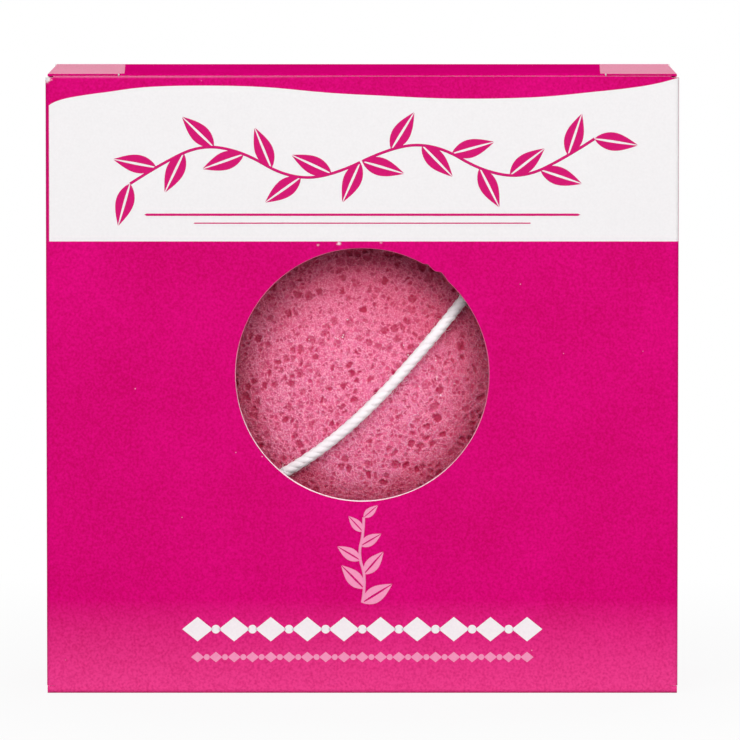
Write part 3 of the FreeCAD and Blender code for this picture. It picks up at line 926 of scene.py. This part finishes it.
def board_piece(node, outward, butts, outside, cuts=()):
    """A flat piece of board in place of a CAD node. Butts are the (axis, mm) sides that a fold joins."""
    bm = bmesh.new()
    bm.from_mesh(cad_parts[node].data)
    bmesh.ops.remove_doubles(bm, verts=bm.verts, dist=1e-6)
    bmesh.ops.dissolve_limit(bm, angle_limit=0.02, verts=bm.verts, edges=bm.edges)
    for place, across in cuts:
        whole = [*bm.verts, *bm.edges, *bm.faces]
        bmesh.ops.bisect_plane(bm, geom=whole, plane_co=place * MM, plane_no=across)
    bm.normal_update()
    for face in bm.faces:
        facing = face.normal.dot(outward)
        face.material_index = 0 if facing > 0.8 else 1 if facing < -0.8 else 2
    raw = []
    for edge in bm.edges:
        middle = (edge.verts[0].co + edge.verts[1].co) / 2
        joined = any(abs(middle[axis] - place * MM) < 1e-5 for axis, place in butts)
        if len({face.material_index for face in edge.link_faces}) > 1 and not joined:
            raw.append(edge)
    bmesh.ops.bevel(bm, geom=raw, offset=0.07 * MM, segments=2, profile=0.5, affect="EDGES")
    made = finish_mesh(bm, node + "_board", [outside, reverse_board, core_board])
    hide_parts(node)
    return made


for node, outward, butts in (
    ("back_panel", BACK, ((0, -43.5), (0, 43.9), (2, 87.3))),
    ("left_side_panel", -RIGHT, ((1, -17.9), (2, 1.65), (2, 86.75))),
    ("right_side_panel", RIGHT, ((1, -17.9), (1, 17.9), (2, 1.65), (2, 86.75))),
    ("glue_flap", -RIGHT, ((1, 17.9),)),
):
    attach(board_piece(node, outward, butts, print_board), "carton")
print("sleeve panels made")

# %% Lids, tuck flaps and dust flaps
# Where the lid's flat part ends behind, where its free ends start, and how far a closed tuck flap leans in
lid_back = 17.9
ear_start = 34.7
tuck_lean = 8
# The free ends lie flat and shine; the middle, which the tuck flap holds, is matt. They meet on a slant
slant = 0.025
for end in ("top", "bottom"):
    up = 1 if end == "top" else -1
    cuts = [(Vector((sign * ear_start, lid_back * up, 0)), Vector((1, -sign * slant * up, 0)))
            for sign in (-1, 1)]
    lid = board_piece(end + "_lid", UP * up, ((1, lid_back * up), (1, -17.15 * up)), lid_board, cuts)
    lid.data.materials.append(lid_end_board)
    for face in lid.data.polygons:
        limit = ear_start * MM - slant * (lid_back * MM - face.center.y * up)
        if face.material_index == 0 and abs(face.center.x) > limit:
            face.material_index = 3
        elif face.material_index == 2 and face.center.y * up < -18.2 * MM:
            face.material_index = 0
    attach(lid, end + "_lid")
    lean = math.radians(tuck_lean)
    tuck_faces = Vector((0, -up * math.cos(lean), -up * math.sin(lean)))
    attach(board_piece(end + "_tuck_flap", tuck_faces, (), tuck_board), end + "_tuck_flap")
    for side, sign in (("left", -1), ("right", 1)):
        node = f"{end}_{side}_dust_flap"
        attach(board_piece(node, UP * up, ((0, sign * 43.9),), dust_board), node)
print("lids and flaps made")

# %% [markdown]
# ## The front panel
# The front is made from its own outline instead of the copy, because of the window: a fan of faces runs
# from the round edge to the straight sides. The punched ring is about 0.1 mm wide and wavers a little, and
# the cut has two small nicks at the upper right, where the waste was broken out.

# %% Front panel
front_low, front_high = (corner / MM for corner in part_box("front_panel"))
# The top edge stands a little higher than its solid's, so that no gap shows below the lid
front_high.z += 0.1
board_thickness = 0.4
corner_turns = [math.atan2(z - window_z, x)
                for x in (front_low.x, front_high.x) for z in (front_low.z, front_high.z)]
# Direction in radians, how fast it starts and runs out, and depth in millimetres of the two nicks
nicks = [(1.065, 0.026, 0.06, 0.26), (0.955, 0.042, 0.09, 0.40)]
nick_turns = np.linspace(0.82, 1.07, 45)
turns = sorted([*np.linspace(-math.pi, math.pi, 240, endpoint=False), *corner_turns, *nick_turns])


def ring_width(turn):
    """Width of the punched ring in millimetres round the window, more at the lower left."""
    waver = 0.015 * math.sin(3 * turn + 1) + 0.012 * math.sin(11 * turn)
    return 0.1 + waver + 0.02 * math.cos(turn + 1.9)


def cut_radius(turn):
    """Radius of the window in millimetres, with the nicks at the upper right."""
    radius = window_radius
    for start, rise, fall, depth in nicks:
        past = start - turn
        radius += depth * max(0, min(past / rise, 1 - (past - rise) / fall))
    return radius


def on_side(turn):
    """The point of the panel's straight outline that lies in a direction from the window's middle."""
    dx = math.cos(turn)
    dz = math.sin(turn)
    reach_x = (front_high.x if dx > 0 else front_low.x) / dx if abs(dx) > 1e-9 else 1e9
    reach_z = ((front_high.z if dz > 0 else front_low.z) - window_z) / dz if abs(dz) > 1e-9 else 1e9
    reach = min(reach_x, reach_z)
    return dx * reach, window_z + dz * reach


bm = bmesh.new()
loops = []
for turn in turns:
    outer_x, outer_z = on_side(turn)
    cut = cut_radius(turn)
    places = [(outer_x, front_low.y, outer_z)]
    # Radius and depth of the ring's outer edge, its lip, the top of the cut wall and its foot
    section = [(cut + ring_width(turn), 0.0), (cut + 0.02, 0.1), (cut, 0.16), (cut, board_thickness)]
    for radius, depth in section:
        places.append((math.cos(turn) * radius, front_low.y + depth, window_z + math.sin(turn) * radius))
    places.append((outer_x, front_high.y, outer_z))
    loops.append([bm.verts.new(Vector(place) * MM) for place in places])
# Print, punched ring, its lip, the cut wall, the inside and the outer edge
kinds = [0, 3, 3, 2, 1, 2]
for here, there in zip(loops, loops[1:] + loops[:1]):
    for k, kind in enumerate(kinds):
        face = bm.faces.new((here[k], here[(k + 1) % 6], there[(k + 1) % 6], there[k]))
        face.material_index = kind
bmesh.ops.recalc_face_normals(bm, faces=bm.faces)
front = finish_mesh(bm, "front_panel_board", [print_board, reverse_board, core_board, edge_board])
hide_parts("front_panel")
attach(front, "carton")
print("front panel", len(front.data.polygons), "faces")

# %% [markdown]
# ## Folds
# At a crease the board bends round a tight radius. The folds of the sleeve never move. Those of the lids
# and flaps do; here each is a strip that turns smoothly round its fold, as creased board does, made in
# its closed place, with the places of its two ends worked out as well.

# %% Fold strips
fold_radius = 0.6
inner_radius = 0.2
land = 0.5
carton_height = 88.4


def fold_strip(node, axis, normal, toward, along, lean, outside, turned=False):
    """A folded strip of board in place of a CAD crease. Turned swings it end for end to the bottom."""
    swing = math.pi / 2 + math.radians(lean)
    stops = [(0, -land)] + [(swing * i / 12, 0) for i in range(13)] + [(swing, land)]
    rows = []
    for radius in (fold_radius, inner_radius):
        row = []
        for angle, step in stops:
            out = normal * math.cos(angle) + toward * math.sin(angle)
            on = toward * math.cos(angle) - normal * math.sin(angle)
            row.append(axis + out * radius + on * step)
        rows.append(row)
    section = rows[0] + rows[1][::-1]
    count = len(stops)
    bm = bmesh.new()
    ends = [[bm.verts.new((place + along * share) * MM) for place in section] for share in (0, 1)]
    for k in range(2 * count):
        after = (k + 1) % (2 * count)
        face = bm.faces.new((ends[0][k], ends[0][after], ends[1][after], ends[1][k]))
        face.material_index = 0 if k < count - 1 else 1 if count <= k < 2 * count - 1 else 2
    for row in ends:
        for k in range(count - 1):
            face = bm.faces.new((row[k], row[k + 1], row[2 * count - 2 - k], row[2 * count - 1 - k]))
            face.material_index = 2
    if turned:
        swap = Matrix.Translation((0, 0, carton_height * MM)) @ Matrix.Diagonal((1, -1, -1, 1))
        bmesh.ops.transform(bm, matrix=swap, verts=bm.verts)
    bmesh.ops.recalc_face_normals(bm, faces=bm.faces)
    made = finish_mesh(bm, node + "_board", [outside, reverse_board, core_board])
    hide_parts(node)
    far = normal * math.cos(swing) + toward * math.sin(swing)
    places = [axis + normal * fold_radius, axis + far * fold_radius]
    if turned:
        places = [Vector((place.x, -place.y, carton_height - place.z)) for place in places]
    return made, [place * MM for place in places]


# Axes of the upright folds, in millimetres
corner_x = 44.4
corner_y = 18.4
for node, x, y, normal, toward, low, high in (
    ("front_left_crease", -corner_x, -corner_y, -BACK, -RIGHT, 1.12, 87.9),
    ("front_right_crease", corner_x, -corner_y, -BACK, RIGHT, 1.12, 87.9),
    ("back_right_crease", corner_x, corner_y, BACK, RIGHT, 0.5, 87.25),
    ("glue_flap_crease", -44.0, corner_y, BACK, -RIGHT, 1.6, 86.8),
):
    strip, _ = fold_strip(node, Vector((x, y, low)), normal, toward, UP * (high - low), 0, print_board)
    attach(strip, "carton")
print("sleeve folds made")

# %% Moving folds
for end in ("top", "bottom"):
    turned = end == "bottom"
    strip, ends = fold_strip(end + "_lid_crease", Vector((-44.92, corner_y, 87.8)), BACK, UP, RIGHT * 89.84,
                             0, print_board, turned)
    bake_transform(strip)
    strip, ends = fold_strip(end + "_tuck_crease", Vector((-34.5, -17.65, 87.8)), UP, -BACK, RIGHT * 69.0,
                             tuck_lean, lid_board, turned)
    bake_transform(strip)
    for side, sign in (("left", -1), ("right", 1)):
        strip, ends = fold_strip(f"{end}_{side}_dust_crease", Vector((sign * corner_x, -16.45, 87.25)),
                                 RIGHT * sign, UP, BACK * 33.35, 0, dust_board, turned)
        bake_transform(strip)
print("moving folds made")

# %% [markdown]
# ## Printed ornament
# The white band and the lower front carry a plain printed ornament of leaves, beads and rules. It could be
# painted in the shader; as thin flat ink shapes made by node trees it stays crisp at any size. The first
# tree sweeps a thin stem along a line and sets leaves on alternate sides of it.


# %% Ink materials
def ink_material(name, dark, light):
    """A film of offset ink with a little mottle, as smooth as the varnish over it."""
    material, add = new_material(name)
    own_place = add("ShaderNodeTexCoord").outputs["Object"]
    flocks = add("ShaderNodeTexNoise", {"Vector": own_place, "Scale": 1000 / 0.35, "Detail": 2.0})
    tone = add("ShaderNodeMix", {0: flocks, 6: linear(dark), 7: linear(light)}, data_type="RGBA")
    shader = add("ShaderNodeBsdfPrincipled", {
        "Base Color": tone, "Roughness": 0.5, "Specular IOR Level": 0.12})
    add("ShaderNodeOutputMaterial", {"Surface": shader})
    return material


magenta_ink = ink_material("magenta_offset_ink", "BE0563", "D20C70")
pale_ink = ink_material("pale_pink_offset_ink", "E886B0", "EE9CBF")
white_ink = ink_material("unprinted_board_white", "E8E2E6", "F2EEF0")
print("three inks")

# %% Leaf sprig tree
sprig_tree, add, given = new_tree("leaf_sprig", {
    "Stem Radius": "Float", "Count": "Int", "Leaf Length": "Float", "Leaf Width": "Float",
    "Leaf Angle": "Float", "Taper": "Float", "Material": "Material"})
stem_ring = add("GeometryNodeCurvePrimitiveCircle", {
    "Resolution": 8, "Radius": given["Stem Radius"]}, mode="RADIUS")
stem = add("GeometryNodeCurveToMesh", {
    "Curve": given["Geometry"], "Profile Curve": stem_ring, "Fill Caps": True})
# A leaf: a strip 14 faces long and 3 wide, rounded in width, with its middle row taken out as the vein
strip = add("GeometryNodeMeshGrid", {"Size X": 1.0, "Size Y": 2.0, "Vertices X": 15, "Vertices Y": 4})
spot = add("GeometryNodeInputPosition")
spot_x, spot_y, _ = add("ShaderNodeSeparateXYZ", spot).outputs
share = add("ShaderNodeMath", spot_x, 0.5, operation="ADD")
bent = add("ShaderNodeMath", share, 0.8, operation="POWER")
arch = add("ShaderNodeMath", bent, math.pi, operation="MULTIPLY")
width = add("ShaderNodeMath", arch, operation="SINE")
half = add("ShaderNodeMath", width, 0.5, operation="MULTIPLY")
side = add("ShaderNodeMath", spot_y, operation="SIGN")
away = add("ShaderNodeMath", spot_y, operation="ABSOLUTE")
rim = add("ShaderNodeMapRange", {
    "Value": away, "From Min": 1 / 3, "From Max": 1.0, "To Min": 0.1, "To Max": 1.0})
offset = add("ShaderNodeMath", half, rim, 0.02, operation="MULTIPLY_ADD")
signed = add("ShaderNodeMath", offset, side, operation="MULTIPLY")
long_x = add("ShaderNodeMath", share, given["Leaf Length"], operation="MULTIPLY")
wide_z = add("ShaderNodeMath", signed, given["Leaf Width"], operation="MULTIPLY")
# Ink is a film of a few thousandths of a millimetre, drawn thicker so that it stands clear of the board
ink_film = 0.04
shape = add("ShaderNodeCombineXYZ", long_x, ink_film * MM / 2, wide_z)
vein = add("ShaderNodeMath", away, 0.2, operation="LESS_THAN")
halves = add("GeometryNodeDeleteGeometry", {"Geometry": strip, "Selection": vein}, domain="FACE")
outlined = add("GeometryNodeSetPosition", {"Geometry": halves, "Position": shape})
blade = add("GeometryNodeMergeByDistance", {"Geometry": outlined, "Distance": 1e-6})
raised = add("GeometryNodeExtrudeMesh", {
    "Mesh": blade, "Offset Scale": ink_film * MM, "Individual": False}, mode="FACES")
underside = add("GeometryNodeFlipFaces", {"Mesh": blade})
shell = add("GeometryNodeJoinGeometry", raised)
sprig_tree.links.new(underside.outputs[0], shell.inputs[0])
leaf = add("GeometryNodeMergeByDistance", {"Geometry": shell, "Distance": 1e-6})
print("leaf laid out")

# %% Leaf sprig tree, set out
points = add("GeometryNodeCurveToPoints", {"Curve": given["Geometry"], "Count": given["Count"]}, mode="COUNT")
ahead_x, _, ahead_z = add("ShaderNodeSeparateXYZ", points.outputs["Tangent"]).outputs
slope = add("ShaderNodeMath", ahead_z, ahead_x, operation="ARCTAN2")
index = add("GeometryNodeInputIndex")
odd = add("ShaderNodeMath", index, 2.0, operation="MODULO")
swing = add("ShaderNodeMapRange", {"Value": odd, "To Min": -1.0, "To Max": 1.0})
lean = add("ShaderNodeMath", swing, given["Leaf Angle"], slope, operation="MULTIPLY_ADD")
about = add("ShaderNodeMath", lean, -1.0, operation="MULTIPLY")
turn = add("ShaderNodeCombineXYZ", {1: about})
order = add("ShaderNodeMath", index, given["Count"], operation="DIVIDE")
shrink = add("ShaderNodeMath", order, given["Taper"], operation="MULTIPLY")
size = add("ShaderNodeMath", 1.0, shrink, operation="SUBTRACT")
leaves = add("GeometryNodeInstanceOnPoints", {
    "Points": points, "Instance": leaf, "Rotation": turn, "Scale": size})
flat = add("GeometryNodeTransform", {"Geometry": stem, "Scale": (1, 0.1, 1)})
joined = add("GeometryNodeJoinGeometry", leaves)
sprig_tree.links.new(flat.outputs[0], joined.inputs[0])
close_tree(add, joined, given["Material"])
print("sprig tree laid out")


# %% Sprigs on the front
def printed(name, tree, lines, values):
    """Printed ornament that a tree makes along lines of (x, z) control points on the front."""
    base = nurbs_lines(name + "_line", [[(x, 0.0, z) for x, z in line] for line in lines], 8)
    made = grow(base, tree, values, name)
    made.data.transform(Matrix.Translation((0, front_low.y * MM, 0)))
    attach(made, "carton")
    bpy.data.objects.remove(base)
    return made


garland = [[(0, 76.0), (5, 78.4), (11, 78.2), (17, 74.6), (23, 73.6), (29, 76.6), (33, 79.2)],
           [(-0.3, 75.86), (-5, 73.6), (-11, 73.8), (-17, 77.4), (-23, 78.4), (-29, 75.4), (-33, 72.8)]]
band_sprig = printed("band_leaf_garland", sprig_tree, garland, {
    "Stem Radius": 0.2 * MM, "Count": 9, "Leaf Length": 6.2 * MM, "Leaf Width": 2.5 * MM, "Leaf Angle": 0.72,
    "Taper": 0.0, "Material": magenta_ink})
upright = [[(0, 13.0), (0.6, 16.4), (-0.6, 19.8), (0.2, 23.0), (0.2, 25.2)]]
lower_sprig = printed("lower_leaf_sprig", sprig_tree, upright, {
    "Stem Radius": 0.2 * MM, "Count": 7, "Leaf Length": 5.0 * MM, "Leaf Width": 2.2 * MM, "Leaf Angle": 0.85,
    "Taper": 0.55, "Material": pale_ink})
print("sprigs", len(band_sprig.data.polygons), len(lower_sprig.data.polygons), "faces")

# %% [markdown]
# ## Borders and rules
# Two rows of lozenges and dots close the lower front, and two thin rules lie under the garland. The rows
# repeat, so a second tree sets discs of four corners and of many along a line by turns. The rules are
# single strips with pointed ends, and so plain mesh code makes them.

# %% Bead border tree
bead_tree, add, given = new_tree("bead_border", {
    "Count": "Int", "Bead": "Float", "Dot": "Float", "Material": "Material"})
points = add("GeometryNodeCurveToPoints", {"Curve": given["Geometry"], "Count": given["Count"]}, mode="COUNT")
index = add("GeometryNodeInputIndex")
odd = add("ShaderNodeMath", index, 2.0, operation="MODULO")
even = add("ShaderNodeMath", 1.0, odd, operation="SUBTRACT")
joined = add("GeometryNodeJoinGeometry")
# Corners, radius, place in the row and stretch of the lozenge and of the dot
for corners, radius, turn, stretch in ((4, given["Bead"], even, (1.25, 1.0, 1.0)),
                                       (20, given["Dot"], odd, (1, 1, 1))):
    disc = add("GeometryNodeMeshCylinder", {
        "Vertices": corners, "Radius": radius, "Depth": ink_film * MM}, fill_type="NGON")
    shaped = add("GeometryNodeTransform", {"Geometry": disc, "Scale": stretch})
    facing = add("GeometryNodeTransform", {"Geometry": shaped, "Rotation": (math.pi / 2, 0, 0)})
    placed = add("GeometryNodeInstanceOnPoints", {"Points": points, "Selection": turn, "Instance": facing})
    bead_tree.links.new(placed.outputs[0], joined.inputs[0])
close_tree(add, joined, given["Material"])
print("bead tree laid out")

# %% Borders and rules
bead_border = printed("white_bead_border", bead_tree, [[(-23.5, 9.2), (0, 9.2), (23.5, 9.2)]], {
    "Count": 19, "Bead": 1.75 * MM, "Dot": 0.62 * MM, "Material": white_ink})
dot_border = printed("pale_dot_border", bead_tree, [[(-23.5, 5.2), (0, 5.2), (23.5, 5.2)]], {
    "Count": 37, "Bead": 0.75 * MM, "Dot": 0.42 * MM, "Material": pale_ink})
bm = bmesh.new()
# Left end, right end, height and thickness of each rule, in millimetres
rules = [(-31, 31, 68.4, 0.34), (-24, 24, 67.2, 0.17)]
for left, right, height, thick in rules:
    corners = [(left, height), (left + thick, height - thick / 2), (right - thick, height - thick / 2),
               (right, height), (right - thick, height + thick / 2), (left + thick, height + thick / 2)]
    rows = [[bm.verts.new((x * MM, (front_low.y + y) * MM, z * MM)) for x, z in corners]
            for y in (-ink_film / 2, ink_film / 2)]
    bm.faces.new(rows[0])
    bm.faces.new(rows[1][::-1])
    for k in range(6):
        bm.faces.new((rows[0][k - 1], rows[1][k - 1], rows[1][k], rows[0][k]))
bmesh.ops.recalc_face_normals(bm, faces=bm.faces)
printed_rules = finish_mesh(bm, "printed_rules", [magenta_ink])
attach(printed_rules, "carton")
print("borders", len(bead_border.data.polygons), len(dot_border.data.polygons), "faces,", len(rules), "rules")
